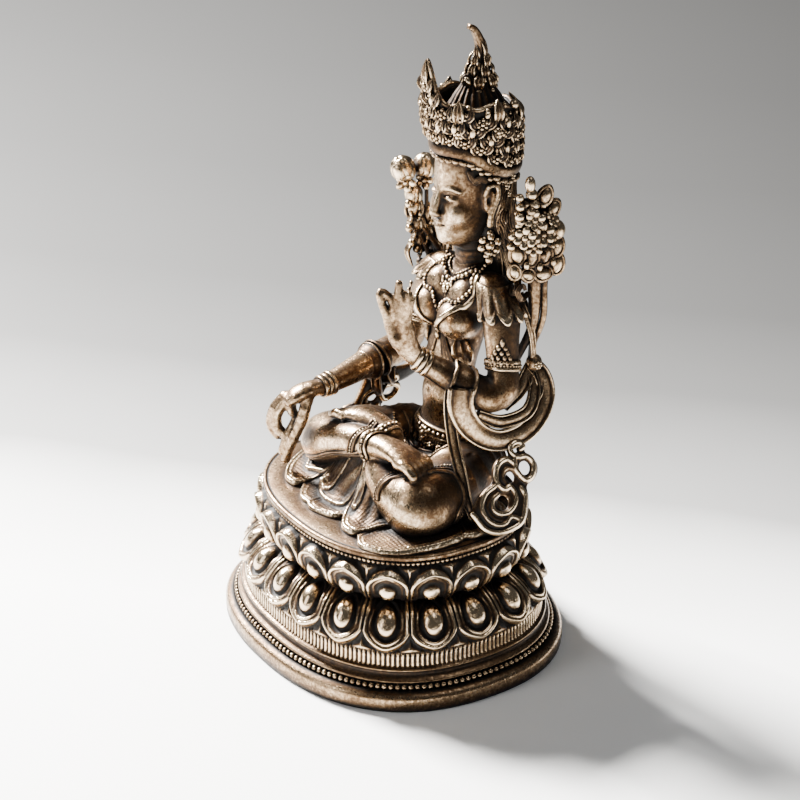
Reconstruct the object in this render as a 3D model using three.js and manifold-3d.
// A cast figure of Tara seated in the full lotus pose on an oval double-lotus plinth.
// Millimetres, +Z up, the figure faces -Y, and the origin is the centre of the plinth's underside.
import * as THREE from 'three';
import { mergeVertices } from 'three/addons/utils/BufferGeometryUtils.js';
import Module from 'manifold-3d';

const wasm = await Module();
wasm.setup();

// Driving dimensions of the plinth's plan
const BASE_WIDTH = 120;
const BASE_DEPTH = 103;
const OUTLINE_POWER = 2.345;
const PETALS_PER_ROW = 20;

// Heights of the plinth's bands, from the underside up
const LIP_HEIGHT = 6.4;
const BEAD_BAND = 2.1;
const CAVETTO_HEIGHT = 3.6;
const FLUTE_HEIGHT = 5.3;
const LOWER_PETAL_HEIGHT = 13.3;
const UPPER_PETAL_HEIGHT = 14.3;
const RIM_BEAD_BAND = 1.9;
const RIM_HEIGHT = 2.1;

// How far each band stands back from the plinth's widest outline
const LIP_BEVEL = 2.1;
const BEAD_SETBACK = 3.8;
const BEAD_RELIEF = 0.9;
const CAVETTO_SETBACK = 4.9;
const FLUTE_SETBACK = 6.8;
const LOWER_BAND_SETBACK = 7.2;
const WAIST_SETBACK = 18.4;
const UPPER_BAND_SETBACK = 14.6;
const RIM_BEAD_SETBACK = 14.6;
const RIM_SETBACK = 13.1;

// Relief of the plinth's petals above their band
const PETAL_BORDER = 1.4;
const PETAL_GROOVE = 0.5;
const PETAL_BOSS = 3.2;
const PETAL_VALLEY = 0.8;
const PETAL_BULGE = 1.6;

// The figure keeps its pose and carving as shares of its own height above the plinth
const FIGURE_HEIGHT = 151;
const DRAWN_HEIGHT = 151;
const SHARE = FIGURE_HEIGHT / DRAWN_HEIGHT;
const MIDDLE = 2;

const { lerp, degToRad } = THREE.MathUtils;
const at = (x, y, z) => new THREE.Vector3(x, y, z);

// Building closed solids

function solidFrom(positions, faces) {
  const vertProperties = new Float32Array(positions);
  const triVerts = new Uint32Array(faces);
  return new wasm.Manifold(new wasm.Mesh({ numProp: 3, vertProperties, triVerts }));
}

function solidFromGeometry(geometry) {
  geometry.deleteAttribute('normal');
  geometry.deleteAttribute('uv');
  const merged = mergeVertices(geometry, 1e-4);
  return solidFrom(merged.getAttribute('position').array, merged.getIndex().array);
}

function signedVolume(points, faces) {
  let volume = 0;
  for (let i = 0; i < faces.length; i += 3) {
    const [a, b, c] = [points[faces[i]], points[faces[i + 1]], points[faces[i + 2]]];
    volume += a.dot(b.clone().cross(c));
  }
  return volume;
}

// Triangles between two rings of points, one of which may have a whole number of times more points
function band(lowStart, lowCount, highStart, highCount) {
  const faces = [];
  const coarse = Math.min(lowCount, highCount);
  const [lowStep, highStep] = [lowCount / coarse, highCount / coarse];
  const low = (i) => lowStart + (i % lowCount);
  const high = (i) => highStart + (i % highCount);
  for (let i = 0; i < coarse; i += 1) {
    const [a, c] = [i * lowStep, i * highStep];
    const [lowTurn, highTurn] = [Math.ceil(lowStep / 2), Math.floor(highStep / 2)];
    for (let k = 0; k < lowStep; k += 1) {
      faces.push(low(a + k), low(a + k + 1), high(k < lowTurn ? c + highTurn : c + highStep));
    }
    for (let k = 0; k < highStep; k += 1) {
      faces.push(low(k < highTurn ? a : a + lowTurn), high(c + k + 1), high(c + k));
    }
  }
  return faces;
}

// A closed solid through rings of points, closed at each end by a fan about a middle point
function loft(rings, firstCentre = null, lastCentre = null) {
  const sumOf = (ring) => ring.reduce((sum, point) => sum.add(point), at(0, 0, 0));
  const middleOf = (ring) => sumOf(ring).divideScalar(ring.length);
  const points = rings.flat();
  const faces = [];
  let start = 0;
  for (let i = 0; i + 1 < rings.length; i += 1) {
    const next = start + rings[i].length;
    faces.push(...band(start, rings[i].length, next, rings[i + 1].length));
    start = next;
  }
  const [bottom, top] = [rings[0].length, rings.at(-1).length];
  const last = points.length;
  points.push(firstCentre ?? middleOf(rings[0]), lastCentre ?? middleOf(rings.at(-1)));
  for (let i = 0; i < bottom; i += 1) faces.push(last, (i + 1) % bottom, i);
  for (let i = 0; i < top; i += 1) faces.push(last + 1, start + i, start + ((i + 1) % top));
  if (signedVolume(points, faces) < 0) faces.reverse();
  return solidFrom(points.flatMap((point) => [point.x, point.y, point.z]), faces);
}

const union = (solids) => solids.reduce((joined, solid) => joined.add(solid));

function meshOf(name, solid, material) {
  const { vertProperties, triVerts } = solid.getMesh();
  const geometry = new THREE.BufferGeometry();
  geometry.setAttribute('position', new THREE.BufferAttribute(new Float32Array(vertProperties), 3));
  geometry.setIndex(new THREE.BufferAttribute(new Uint32Array(triVerts), 1));
  geometry.computeVertexNormals();
  const mesh = new THREE.Mesh(geometry, material);
  mesh.name = name;
  return mesh;
}

// An egg or ball with its own radii
function blob(centre, radii, sides = 6, bands = 4) {
  const geometry = new THREE.SphereGeometry(1, sides, bands);
  geometry.scale(...radii);
  geometry.translate(centre.x, centre.y, centre.z);
  return solidFromGeometry(geometry);
}

// Level oval rings, each [z, x, y, half width, half depth]; `shape` may move each point
function oval(sections, sides, shape = (point) => point) {
  return loft(sections.map(([z, x, y, halfWidth, halfDepth]) => {
    const ring = [];
    for (let side = 0; side < sides; side += 1) {
      const angle = (2 * Math.PI * (side + 0.5)) / sides;
      ring.push(shape(at(x + halfWidth * Math.cos(angle), y + halfDepth * Math.sin(angle), z), side));
    }
    return ring;
  }));
}

// Section rings along a smooth path. The radii are spread evenly along it, `flat` squashes the
// sections along `facing`, and `dome` rounds the far end with that many rings.
function path(points, radii, { sides = 6, steps = 4, flat = 1, facing = at(0, 0, 1), dome = 0 } = {}) {
  const curve = new THREE.CatmullRomCurve3(points, false, 'centripetal');
  const rings = [];
  const ringAt = (centre, tangent, radius) => {
    const across = tangent.clone().cross(facing).normalize();
    const out = across.clone().cross(tangent).normalize();
    const ring = [];
    for (let side = 0; side < sides; side += 1) {
      const angle = (2 * Math.PI * (side + 0.5)) / sides;
      ring.push(centre.clone()
        .addScaledVector(across, radius * Math.cos(angle))
        .addScaledVector(out, radius * flat * Math.sin(angle)));
    }
    rings.push(ring);
  };
  for (let step = 0; step <= steps; step += 1) {
    const share = step / steps;
    const place = share * (radii.length - 1);
    const low = Math.min(Math.floor(place), radii.length - 2);
    const radius = lerp(radii[low], radii[low + 1], place - low);
    ringAt(curve.getPoint(share), curve.getTangent(share), radius);
  }
  const [end, tangent, radius] = [curve.getPoint(1), curve.getTangent(1), radii.at(-1)];
  for (let step = 1; step <= dome; step += 1) {
    const angle = (Math.PI * step) / (2 * dome + 1.2);
    const centre = end.clone().addScaledVector(tangent, radius * Math.sin(angle));
    ringAt(centre, tangent, radius * Math.cos(angle));
  }
  const tip = end.clone().addScaledVector(tangent, dome ? radius : radius * 0.45 * flat);
  return loft(rings, null, tip);
}

// Section rings straight from station to station, each [x, y, z, half width, half depth], where the
// half depth is along `facing`; `fluted` draws every other side in on the last stations
function limb(stations, { sides = 7, facing = at(1, 0, 0), fluted = 0 } = {}) {
  const centres = stations.map(([x, y, z]) => at(x, y, z));
  const last = stations.length - 1;
  const rings = stations.map(([, , , halfWidth, halfDepth = halfWidth], i) => {
    const tangent = centres[Math.min(i + 1, last)].clone().sub(centres[Math.max(i - 1, 0)]).normalize();
    const across = tangent.clone().cross(facing).normalize();
    const out = across.clone().cross(tangent);
    const ring = [];
    for (let side = 0; side < sides; side += 1) {
      const angle = (2 * Math.PI * (side + 0.5)) / sides;
      const size = side % 2 && last - i < fluted ? 0.72 : 1;
      ring.push(centres[i].clone()
        .addScaledVector(across, halfWidth * size * Math.cos(angle))
        .addScaledVector(out, halfDepth * size * Math.sin(angle)));
    }
    return ring;
  });
  return loft(rings);
}

// A ring round an axis, such as a bangle or a curl; `section` is its [radial, axial] half sizes
function hoop(centre, axis, radius, section, sides = 8, corners = 3) {
  const profile = [];
  for (let corner = 0; corner <= corners; corner += 1) {
    const angle = (2 * Math.PI * (corner % corners)) / corners;
    profile.push(new THREE.Vector2(radius + section[0] * Math.cos(angle), section[1] * Math.sin(angle)));
  }
  const geometry = new THREE.LatheGeometry(profile, sides);
  geometry.applyQuaternion(new THREE.Quaternion().setFromUnitVectors(at(0, 1, 0), axis.clone().normalize()));
  geometry.translate(centre.x, centre.y, centre.z);
  return solidFromGeometry(geometry);
}

// A carved leaf growing from `root` along `along`, its face turned to `out`, its tip bent by `curl`
function leaf(root, along, out, { width, length, thickness, curl = 0, point = 0, count = 6 }) {
  const up = along.clone().normalize();
  const across = up.clone().cross(out).normalize();
  const face = across.clone().cross(up).normalize();
  const place = (u, v, height) => {
    const run = v + length / 2;
    const bend = curl * (run / length) ** 2;
    return root.clone()
      .addScaledVector(across, u)
      .addScaledVector(up, run)
      .addScaledVector(face, height + bend);
  };
  const steps = [[0.85, 0], [1, thickness * 0.6], [0.72, thickness]];
  const rings = steps.map(([scale, height]) => {
    const ring = [];
    for (let i = 0; i < count; i += 1) {
      const angle = (2 * Math.PI * i) / count;
      const tip = 2 * i === count ? point : 0;
      const u = (width / 2) * Math.sin(angle);
      const v = tip - (length / 2) * Math.cos(angle);
      ring.push(place(u * scale, v * scale, height));
    }
    return ring;
  });
  return loft(rings, place(0, 0, 0), place(0, 0, thickness * 0.7));
}

const mirror = (point) => at(2 * MIDDLE - point.x, point.y, point.z);

// Draws every other side of an oval in towards the line x = MIDDLE at depth y, as locks of hair
const locks = (y, depth) => (point, side) => {
  const inward = side % 2 ? depth : 0;
  return at(lerp(point.x, MIDDLE, inward), lerp(point.y, y, inward), point.z);
};

// The plinth

const LEVELS = {};
LEVELS.lip = LIP_HEIGHT;
LEVELS.beads = LEVELS.lip + BEAD_BAND;
LEVELS.cavetto = LEVELS.beads + CAVETTO_HEIGHT;
LEVELS.flutes = LEVELS.cavetto + FLUTE_HEIGHT;
LEVELS.waist = LEVELS.flutes + LOWER_PETAL_HEIGHT;
LEVELS.upper = LEVELS.waist + UPPER_PETAL_HEIGHT;
LEVELS.rimBeads = LEVELS.upper + RIM_BEAD_BAND;
LEVELS.top = LEVELS.rimBeads + RIM_HEIGHT;

// A point of the plan outline at an angle parameter, standing back by a setback
function planPoint(angle, setback) {
  const bend = (value) => Math.sign(value) * Math.abs(value) ** (2 / OUTLINE_POWER);
  const x = (BASE_WIDTH / 2 - setback) * bend(Math.cos(angle));
  const y = (BASE_DEPTH / 2 - setback) * bend(Math.sin(angle));
  return new THREE.Vector2(x, y);
}

// Lengths along the outline, so that petals of equal width follow each other round it
const OUTLINE_SAMPLES = 720;
const OUTLINE_LENGTHS = [0];
for (let i = 1; i <= OUTLINE_SAMPLES; i += 1) {
  const from = planPoint((2 * Math.PI * (i - 1)) / OUTLINE_SAMPLES, LOWER_BAND_SETBACK);
  const to = planPoint((2 * Math.PI * i) / OUTLINE_SAMPLES, LOWER_BAND_SETBACK);
  OUTLINE_LENGTHS.push(OUTLINE_LENGTHS.at(-1) + from.distanceTo(to));
}

// The angle parameter at a number of petals round the outline, petal 0 centred on the +X axis
function petalAngle(petals) {
  const share = ((petals / PETALS_PER_ROW) % 1 + 1) % 1;
  const target = OUTLINE_LENGTHS.at(-1) * share;
  const after = Math.max(OUTLINE_LENGTHS.findIndex((length) => length > target), 1);
  const [from, to] = [OUTLINE_LENGTHS[after - 1], OUTLINE_LENGTHS[after]];
  return (2 * Math.PI * (after - 1 + (target - from) / (to - from))) / OUTLINE_SAMPLES;
}

function plainRing(setback, z) {
  const ring = [];
  for (let half = 0; half < 2 * PETALS_PER_ROW; half += 1) {
    const point = planPoint(petalAngle((half - 1) / 2), setback);
    ring.push(at(point.x, point.y, z));
  }
  return ring;
}

// Columns of a petal from the valley beside it across to the next valley
const PETAL_COLUMNS = [
  { side: -0.5, kind: 'valley' }, { side: -0.37, kind: 'border' }, { side: -0.2, kind: 'groove' },
  { side: 0, kind: 'middle' }, { side: 0.2, kind: 'groove' }, { side: 0.37, kind: 'border' },
];

// Rows of a petal from its root to its tip, with the height of each kind of column
const carved = { valley: -PETAL_VALLEY, border: PETAL_BORDER, groove: PETAL_GROOVE };
const PETAL_ROWS = [
  { along: 0, valley: 0, border: 0.2 * PETAL_BORDER, groove: 0, middle: 0 },
  { along: 0.28, ...carved, middle: 0.8 * PETAL_BOSS },
  { along: 0.6, ...carved, middle: PETAL_BOSS },
  { along: 0.84, ...carved, middle: PETAL_GROOVE },
  { along: 1, valley: 0, border: 0.8 * PETAL_BORDER, groove: PETAL_BORDER, middle: PETAL_BORDER },
];

// Rings of a petal row on the band between two profile points [setback, z], root to tip
function petalRings(root, tip) {
  const [outward, upward] = [root[0] - tip[0], tip[1] - root[1]];
  const length = Math.hypot(outward, upward);
  const lift = Math.sign(upward);
  return PETAL_ROWS.map((row) => {
    const ring = [];
    for (let petal = 0; petal < PETALS_PER_ROW; petal += 1) {
      for (const { side, kind } of PETAL_COLUMNS) {
        const closing = kind === 'valley' ? 0 : 0.5 * row.along ** 6;
        const along = row.along * (1.04 - 0.7 * side * side);
        const height = row[kind] + PETAL_BULGE * Math.sin(Math.PI * Math.min(along, 1));
        const setback = root[0] - outward * along - (lift * upward * height) / length;
        const z = root[1] + upward * along - (lift * outward * height) / length;
        const point = planPoint(petalAngle(petal + side * (1 - closing)), setback);
        ring.push(at(point.x, point.y, z));
      }
    }
    return ring;
  });
}

function lotusPlinth() {
  const waist = [WAIST_SETBACK, LEVELS.waist];
  return loft([
    plainRing(LIP_BEVEL / 4, 0),
    plainRing(0, LIP_BEVEL / 4),
    plainRing(0, LEVELS.lip - LIP_BEVEL),
    plainRing(LIP_BEVEL, LEVELS.lip),
    plainRing(BEAD_SETBACK, LEVELS.lip),
    plainRing(BEAD_SETBACK - BEAD_RELIEF, LEVELS.lip + BEAD_BAND / 2),
    plainRing(BEAD_SETBACK, LEVELS.beads),
    plainRing(CAVETTO_SETBACK, LEVELS.cavetto),
    plainRing(FLUTE_SETBACK, LEVELS.cavetto),
    plainRing(FLUTE_SETBACK, LEVELS.flutes - PETAL_BORDER),
    ...petalRings(waist, [LOWER_BAND_SETBACK, LEVELS.flutes]).reverse(),
    ...petalRings(waist, [UPPER_BAND_SETBACK, LEVELS.upper]).slice(1),
    plainRing(RIM_BEAD_SETBACK, LEVELS.upper),
    plainRing(RIM_BEAD_SETBACK - BEAD_RELIEF, LEVELS.upper + RIM_BEAD_BAND / 2),
    plainRing(RIM_SETBACK, LEVELS.rimBeads),
    plainRing(RIM_SETBACK, LEVELS.top),
  ]);
}

// The figure's body, with the breasts raised on the front of the trunk

function torso() {
  const sections = [
    [-1, 2, 24, 17, 13], [9, 2, 23, 17, 12], [17, 2, 21.5, 13.5, 9.5], [24, 2, 20.8, 10.6, 7.6],
    [33, 2, 21.3, 9, 6.6], [42, 2, 22.2, 9.2, 6.4], [51, 2, 23.6, 11.2, 6.6], [56, 2, 24.4, 12.6, 6.8],
    [60.5, 2, 25, 14, 7], [66, 2, 26, 15.5, 7], [70, 2, 28, 14, 5.8], [74, 2, 29.3, 8, 5],
    [78, 2, 29.4, 4.8, 4.8], [86, 2, 28.5, 4.5, 4.7],
  ];
  const breasts = [MIDDLE - 7, MIDDLE + 7];
  return oval(sections, 16, (point) => {
    for (const x of breasts) {
      const away = (point.x - x) ** 2 + (point.z - 59.5) ** 2;
      if (point.y < 25) point.y -= 7 * Math.exp(-away / 24);
    }
    return point;
  });
}

function head() {
  const skull = oval([
    [82.5, 2, 23, 3, 2.5], [85, 2, 24.4, 5.6, 5.4], [89, 2, 25.6, 7.6, 8.4], [94, 2, 26.4, 8.8, 10.2],
    [101, 2, 27, 9.3, 11.3], [108, 2, 28, 9.3, 12], [116, 2, 29.4, 8.8, 12.4],
  ], 12);
  const bridge = [at(MIDDLE, 15.8, 103), at(MIDDLE, 14.8, 98), at(MIDDLE, 13.6, 94.4)];
  const hair = oval([
    [58, 2, 36, 9, 3], [74, 2, 35.5, 10.6, 4.4], [92, 2, 34, 10.2, 7.2], [110, 2, 32.5, 9.6, 9.8],
  ], 12, locks(33.5, 0.14));
  const nose = path(bridge, [0.8, 1, 1.7], { sides: 5, steps: 2 });
  const lips = blob(at(MIDDLE, 16.6, 90.4), [2.5, 1.5, 1], 6, 3);
  const parts = [skull, hair, nose, lips];
  for (const side of [-1, 1]) {
    const beside = (x, y, z) => at(MIDDLE + side * x, y, z);
    parts.push(blob(beside(4.2, 17.6, 99), [2.4, 1.5, 1.2], 6, 3));
    const ear = [beside(9, 26, 105), beside(10, 27, 100), beside(9.4, 26.4, 92)];
    parts.push(path(ear, [1.4, 1.9, 1.3], { sides: 5, steps: 3 }));
    const earring = [beside(9.8, 26.6, 93), beside(10.4, 27, 85), beside(10.6, 27, 77)];
    parts.push(path(earring, [1.2, 2.4, 1], { sides: 5, steps: 2 }));
  }
  return parts;
}

// The crown: a smooth band, then a flaring wall whose rim rises in pointed leaves
function crown() {
  const columns = 24;
  const bandHalf = [
    at(2, 14, 113), at(9, 18, 111.5), at(12.5, 26, 107.5), at(12.5, 33, 105.5), at(8, 41, 106),
  ];
  const bandBack = at(2, 44, 107);
  const bandPoints = [...bandHalf, bandBack, ...bandHalf.slice(1).map(mirror).reverse()];
  const bandCurve = new THREE.CatmullRomCurve3(bandPoints, true, 'centripetal');
  const opening = { x: MIDDLE, y: 28.6, halfWidth: 12.6, halfDepth: 15 };
  const leafTips = [145, 136, 130.5, 129, 127];
  const shoulders = [134, 128];
  const rimTop = (column) => {
    const fromFront = Math.min(column, columns - column);
    if (fromFront % 3 === 0) return leafTips[fromFront / 3];
    return shoulders[fromFront - 1] ?? 125.5 - 0.35 * fromFront;
  };
  const ringAt = (share, outset, lift) => {
    const ring = [];
    for (let column = 0; column < columns; column += 1) {
      const low = bandCurve.getPoint(column / columns);
      const angle = (2 * Math.PI * column) / columns - Math.PI / 2;
      const out = at(Math.cos(angle), Math.sin(angle), 0);
      const top = rimTop(column);
      const lean = outset + share * Math.max(top - 127, 0) * 0.16;
      const high = at(opening.x + opening.halfWidth * out.x, opening.y + opening.halfDepth * out.y, top);
      ring.push(low.lerp(high, share).addScaledVector(out, lean).add(at(0, 0, lift)));
    }
    return ring;
  };
  const wall = loft([
    ringAt(0, 0, -1.6), ringAt(0, 1, -0.8), ringAt(0, 1, 1.2), ringAt(0.1, 0, 1.6),
    ringAt(1, 0, 0), ringAt(1, -1.8, -0.6), ringAt(0.35, -2.6, 0),
  ]);
  return [wall, ...topknot()];
}

function topknot() {
  const knot = oval([
    [112, 2, 31, 9, 9], [122, 2, 31, 8.6, 8.6], [129, 2, 31, 6.6, 6.6], [134, 2, 31, 4.2, 4.2],
    [136, 2, 31, 5.8, 5.8], [138.5, 2, 31, 4.6, 4.6],
  ], 14, locks(31, 0.16));
  const tongue = [
    at(2, 31, 137), at(2, 31, 141), at(2, 30.6, 145), at(2, 28.8, 149), at(2, 27.4, DRAWN_HEIGHT),
  ];
  const flame = path(tongue, [4.2, 3.6, 2.3, 1.6, 0.9], { sides: 6, steps: 5, facing: at(1, 0, 0) });
  return [knot, flame];
}

// Arms and hands

function finger(points, radius) {
  return path(points, [radius, radius, radius * 0.7], { sides: 4, steps: 2, facing: at(1, 0, 0) });
}

function leftArm() {
  const arm = limb([
    [11, 28.6, 70, 4.6], [17, 28.2, 70.2, 5.6], [21.4, 27.2, 66.5, 6.2], [24, 26.2, 59, 5.6],
    [26.4, 25, 51.5, 5.2], [26.9, 24.8, 50.4, 6.2], [27.7, 24.4, 48, 6.2], [28.1, 24.2, 46.8, 5.1],
    [30, 22.4, 40.6, 5.3], [28.6, 18.8, 39.8, 5.2], [22, 9.2, 46.6, 4.6], [18.6, 4.2, 50.2, 3.8],
    [17.8, 3, 51, 4.7], [16.2, 0.4, 52.6, 4.7], [15.7, -0.4, 53.2, 3.1], [14.9, -2.4, 56.4, 3.6, 2],
    [14.2, -4, 60.5, 4.6, 2.1], [13.2, -5.2, 69.6, 4.2, 1.6],
  ], { facing: at(0.75, -0.66, 0) });
  const fingers = [
    [at(11.2, -6.6, 68), at(10.4, -8.6, 73), at(10.8, -10.6, 75)],
    [at(12.8, -5.6, 68), at(12.2, -6.4, 75), at(12.4, -5.9, 80)],
    [at(14.4, -4.2, 67.5), at(14.8, -4.2, 74), at(15, -3.4, 78.4)],
    [at(15.6, -2.6, 66), at(17, -2, 71.5), at(17.8, -1.2, 75.6)],
    [at(13.8, -5.6, 59), at(13.8, -10, 63.6), at(12.2, -11.4, 68.6)],
  ].map((points) => finger(points, 1.4));
  const plaque = { width: 6.5, length: 10, thickness: 2.2, point: 1 };
  return [arm, ...fingers, leaf(at(30.4, 20.2, 48), at(-0.26, 0.12, 1), at(0.8, -0.6, 0), plaque)];
}

function rightArm() {
  const arm = limb([
    [-7, 28.6, 70, 4.6], [-13, 28.2, 70.2, 5.6], [-17.4, 27.2, 66.5, 6.2], [-20.2, 26.6, 59, 5.6],
    [-22.8, 26, 51.5, 5.2], [-23.3, 25.9, 50.3, 6.2], [-24.2, 25.6, 48, 6.2], [-24.6, 25.4, 46.8, 5.1],
    [-28.4, 24, 37.4, 5], [-28.4, 20, 34.8, 4.9], [-27, 12.6, 34, 4.6], [-26.8, 12, 33.9, 5.6],
    [-26.2, 7, 33.4, 5.6], [-26, 6.4, 33.3, 4.3], [-23.4, -9.6, 31, 3.6], [-23.2, -10.4, 30.9, 4.7],
    [-22.8, -13, 30.6, 4.7], [-22.7, -13.6, 30.5, 3.2], [-24.8, -18.6, 28.8, 4.2, 2.2],
    [-26.6, -22.2, 25.8, 4.2, 1.8],
  ], { facing: at(-0.3, -0.3, 0.9) });
  const fingers = [
    [at(-28.6, -20.6, 26.4), at(-31.6, -25, 21.5), at(-31, -26, 14.6)],
    [at(-26.8, -21.6, 26), at(-28.8, -27, 20.6), at(-28.2, -27.6, 13)],
    [at(-25, -21.4, 26), at(-25.8, -26.6, 18.6), at(-25.6, -26, 12)],
    [at(-23.6, -19.4, 26.6), at(-23.6, -21.6, 14.6), at(-27.6, -26.2, 1)],
    [at(-22.4, -16.4, 28.6), at(-20.6, -19.6, 18.6), at(-22, -21.6, 10)],
  ].map((points) => finger(points, 1.5));
  return [arm, ...fingers];
}

// Legs and feet

function legs() {
  const thigh = { sides: 10, steps: 2, facing: at(1, 0, 0), dome: 3 };
  const shin = { sides: 8, facing: at(0, 0, 1) };
  const lap = oval([[-1, 3, 8, 20, 16], [9, 3, 9, 19, 14], [14, 3, 11, 13, 9]], 8);
  const leftShin = [[28, -13, 8, 8.4], [16, -12.6, 13.5, 7.4], [7, -7, 21, 4.6], [4, -4.4, 24, 4, 3]];
  const rightShin = [
    [-25, -10, 10, 9], [-20, -11, 11.4, 9.4], [-8, -12, 16.6, 8], [3, -11.6, 20.2, 5.4],
    [6, -11.4, 21, 4.6], [6.6, -11.3, 21.2, 5.6], [8.6, -11.2, 21.6, 5.6], [9.2, -11, 21.8, 4.4],
  ];
  const rightFoot = [
    [8, -11.2, 21.6, 3.6, 3], [15, -10, 22.8, 4.4, 3.2], [23, -8.4, 23, 5, 2.6],
    [24.6, -8, 22.8, 5.2, 2.4], [30.4, -6.8, 21, 4.6, 2],
  ];
  const leftFoot = [
    [7, -4.6, 23.4, 3.4, 3], [0, -5.4, 25, 4, 3], [-8, -7.2, 25.2, 4.6, 2.4],
    [-9.4, -7.6, 25, 4.8, 2.2], [-15.4, -9, 24, 4.2, 1.8],
  ];
  return [
    lap,
    path([at(12, 25, 7), at(24, 8, 9), at(30, -8, 10.3)], [11.6, 11.4, 12.2], thigh),
    path([at(-9, 25, 7), at(-18, 8, 9), at(-22.6, -6.6, 9.6)], [11.6, 10.4, 10.4], thigh),
    limb(leftShin, shin),
    limb(rightShin, shin),
    limb(rightFoot, { sides: 12, fluted: 2, facing: at(0.1, 0.1, 1) }),
    limb(leftFoot, { sides: 12, fluted: 2, facing: at(0, 0.1, 1) }),
  ];
}

// The robe spread over the plinth's top: folds fan out from the lap and end in scallops
function robe() {
  const scallops = 9;
  const perScallop = 3;
  const [firstAngle, lastAngle] = [-196, 8];
  const columns = scallops * perScallop;
  const rings = [0.4, 0.75, 0.9, 1].map((share, index) => {
    const ring = [];
    for (let column = 0; column <= columns; column += 1) {
      const turn = degToRad(lerp(firstAngle, lastAngle, column / columns));
      const swell = Math.abs(Math.sin((Math.PI * column) / perScallop));
      const reach = share * (0.86 + 0.14 * swell);
      const height = [9, 3 + 1.4 * swell, 1.4 + swell, 2 + 0.4 * swell][index];
      ring.push(at(MIDDLE + 41 * reach * Math.cos(turn), 2 + 34 * reach * Math.sin(turn), height));
    }
    return ring;
  });
  const under = (ring) => ring.map((point) => at(point.x, point.y, -1));
  return [loft([under(rings[0]), ...rings, under(rings.at(-1))])];
}

// Scarves: a ribbon looping from each forearm behind the elbow, one falling, and a cloud scroll

function ribbon(points, width, facing, steps) {
  return path(points, [width / 2, width / 2], { sides: 4, steps, flat: 0.45, facing });
}

// Cloud scroll of curled scarf ends, on a plane that leans in towards the figure
function scroll(side, forward) {
  const place = (y, z) => {
    const point = at(43.4 - 0.45 * z, y - forward, z);
    return side > 0 ? point : mirror(point);
  };
  const axis = at(side, 0, 0.45);
  return [
    hoop(place(17.7, 8.8), axis, 5.6, [3.6, 1.5], 12, 4),
    hoop(place(21.4, 18), axis, 3.7, [1.9, 1.7]),
    hoop(place(28.4, 16.4), axis, 3.3, [1.5, 1.6]),
    hoop(place(27, 22.6), axis, 2.3, [1.3, 1.5], 6),
    path([place(25.6, 4), place(28.4, 9), place(29, 13.6)], [1.6, 2, 1.6], { sides: 4, steps: 2 }),
  ];
}

function leftScarf() {
  const facing = at(1, -0.35, 0.3);
  const outerLoop = [
    at(24, 8.4, 51.6), at(27.6, 6.8, 43), at(30.6, 10.4, 32), at(33, 20.2, 26), at(33.6, 30, 27),
    at(32.6, 37.6, 32), at(31, 41.2, 37), at(29, 40.4, 43), at(26, 37, 47),
  ];
  const innerLoop = [
    at(30.4, 13, 36), at(31, 23, 31.4), at(32, 33, 34), at(29.6, 37, 40.6), at(26, 36, 46),
  ];
  const fall = [
    at(23.4, 6.3, 41), at(28, 5.1, 28.1), at(34, 4, 18.8), at(38.5, 4, 9.9), at(42, 6.4, 2),
    at(42.4, 13, 1),
  ];
  return [
    ribbon(outerLoop, 6, facing, 9),
    ribbon(innerLoop, 3.8, facing, 6),
    ribbon([at(26, 36.8, 47), at(28, 32, 41), at(29.4, 24, 35)], 4.8, facing, 3),
    blob(at(26.6, 37.6, 47), [2.8, 2.8, 2.8]),
    ribbon(fall, 5.4, facing, 6),
    ribbon([at(26, 37, 47), at(24, 38, 58), at(18, 37, 68)], 5, at(0.4, 1, 0), 3),
    ...scroll(1, 0),
  ];
}

function rightScarf() {
  const facing = at(-1, -0.35, 0.3);
  const loop = [
    at(-29, 9, 38.6), at(-32, 9, 31), at(-34, 16, 23.6), at(-34, 26, 22), at(-32.6, 34, 27),
    at(-29, 37.4, 36), at(-24, 37, 46),
  ];
  return [
    ribbon(loop, 6, facing, 7),
    ribbon([at(-27, 9.4, 30.6), at(-31, 9, 22), at(-36, 9, 12), at(-38, 12, 2)], 5, facing, 3),
    blob(at(-24, 37.4, 46.6), [2.8, 2.8, 2.8]),
    ribbon([at(-24, 37, 46), at(-21, 38, 58), at(-14, 37, 68)], 5, at(-0.4, 1, 0), 3),
    ...scroll(-1, 7),
  ];
}

// Lotus sprays at the shoulders

// A bloom of drooping petals with a bud on top
function bloom(centre, radius, height, petals = 4) {
  const outline = [[-0.4, 0.3], [0, 1], [0.3, 0.5], [0.5, 0.72], [1, 0.2]];
  const sections = outline.map(([share, size]) => {
    const reach = size * radius;
    return [centre.z + share * height, centre.x, centre.y, reach, reach];
  });
  return oval(sections, 2 * petals, (point, side) => {
    const inset = side % 2 ? 0.36 : 0;
    const droop = side % 2 ? 0 : radius * 0.16;
    return at(lerp(point.x, centre.x, inset), lerp(point.y, centre.y, inset), point.z - droop);
  });
}

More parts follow.
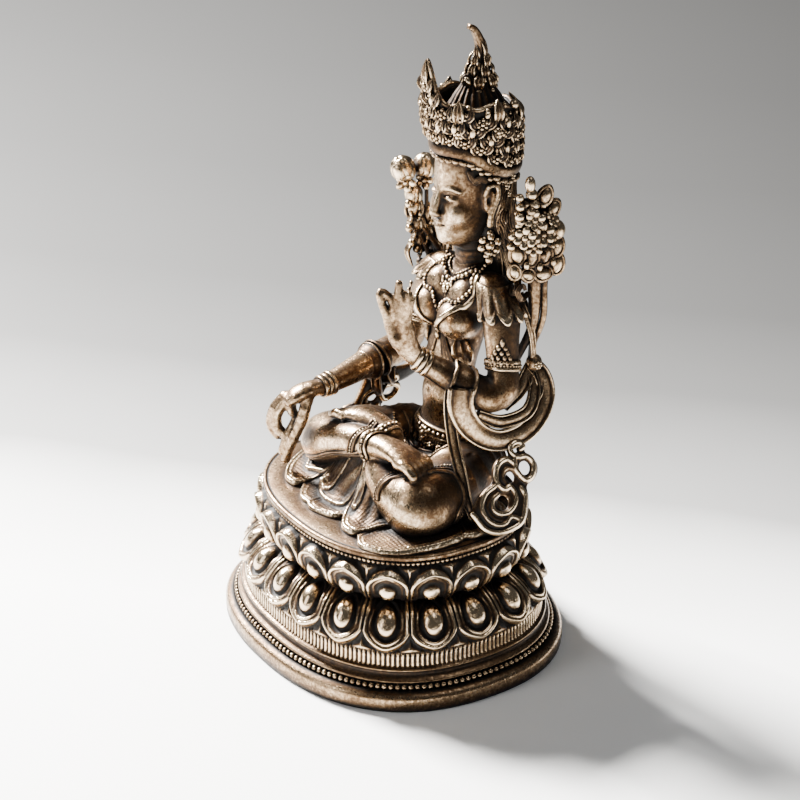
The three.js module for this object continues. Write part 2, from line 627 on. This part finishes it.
function sprays() {
  const stem = { sides: 4, steps: 4 };
  const leftStem = [
    at(23, 33, 48), at(26, 36.6, 60), at(26, 37, 74), at(27.4, 36, 88), at(26.6, 35.4, 100),
  ];
  return [
    path(leftStem, [1.8, 2.4, 3.6, 3, 2], stem),
    bloom(at(29, 37, 83), 8, 9),
    bloom(at(28, 31, 90), 6, 8),
    bloom(at(28.4, 38, 93), 5.6, 8),
    bloom(at(27, 35, 102), 4.8, 8),
    path([at(-16, 32, 60), at(-24, 34, 66), at(-27, 29, 80), at(-28, 25, 90)], [2, 3, 3, 2], stem),
    path([at(-27, 29, 78), at(-27.6, 30.6, 94)], [1.8, 1.4], { sides: 4, steps: 1 }),
    bloom(at(-28.4, 23.4, 93.4), 5.2, 6.5),
    bloom(at(-27.6, 30.6, 95), 5, 6.5),
    bloom(at(-27, 30, 78), 6, 9),
  ];
}

// Jewellery and the cape over the shoulders
function dress() {
  const girdleHalf = [at(-11.4, 20, 18.6), at(-6, 12.6, 18)];
  const collarHalf = [at(-8, 25, 74), at(-4, 20.4, 69.4)];
  const acrossFrom = (half, middle) => [...half, middle, ...half.map(mirror).reverse()];
  const girdle = path(acrossFrom(girdleHalf, at(MIDDLE, 10.4, 17.6)), [1.7, 1.7], { sides: 4, steps: 5 });
  const collar = path(acrossFrom(collarHalf, at(MIDDLE, 18.4, 67.6)), [1.6, 1.6], { sides: 4 });
  const flatForward = { sides: 4, steps: 2, flat: 0.5, facing: at(0, -1, 0) };
  const tassel = path([at(2, 11, 18), at(2, 9, 12), at(2, 8, 8)], [3, 3.4, 2.6], flatForward);
  const pendant = blob(at(MIDDLE, 17.6, 63.6), [2, 1.8, 3]);
  const cape = { width: 12, length: 17, thickness: 3, curl: -3, point: 1 };
  const clothEnd = { width: 6.4, length: 15, thickness: 2, point: 2 };
  const parts = [girdle, collar, pendant, tassel];
  for (const side of [-1, 1]) {
    const shoulder = at(MIDDLE + side * 9, 30, 75);
    parts.push(leaf(shoulder, at(side * 0.9, -0.2, -0.4), at(side * 0.5, -0.3, 0.9), cape));
    const besideBreast = at(MIDDLE + side * 9.6, 19.4, 56);
    parts.push(leaf(besideBreast, at(side * 0.2, -0.1, -1), at(side * 0.7, -0.7, 0), clothEnd));
  }
  return parts;
}

function taraFigure() {
  const whole = union([
    torso(), ...head(), ...crown(), ...leftArm(), ...rightArm(), ...legs(), ...robe(),
    ...leftScarf(), ...rightScarf(), ...sprays(), ...dress(),
  ]);
  const below = new THREE.BoxGeometry(4 * BASE_WIDTH, 4 * BASE_WIDTH, BASE_WIDTH);
  below.translate(0, 0, -BASE_WIDTH / 2);
  return whole.subtract(solidFromGeometry(below)).scale([SHARE, SHARE, SHARE]);
}

const bronze = { color: 0x9a8a74, roughness: 0.36, metalness: 1 };

const group = new THREE.Group();
group.add(meshOf('lotus_plinth', lotusPlinth(), new THREE.MeshStandardMaterial(bronze)));
const figure = meshOf('tara_figure', taraFigure(), new THREE.MeshStandardMaterial(bronze));
figure.position.z = LEVELS.top;
group.add(figure);

export default group;
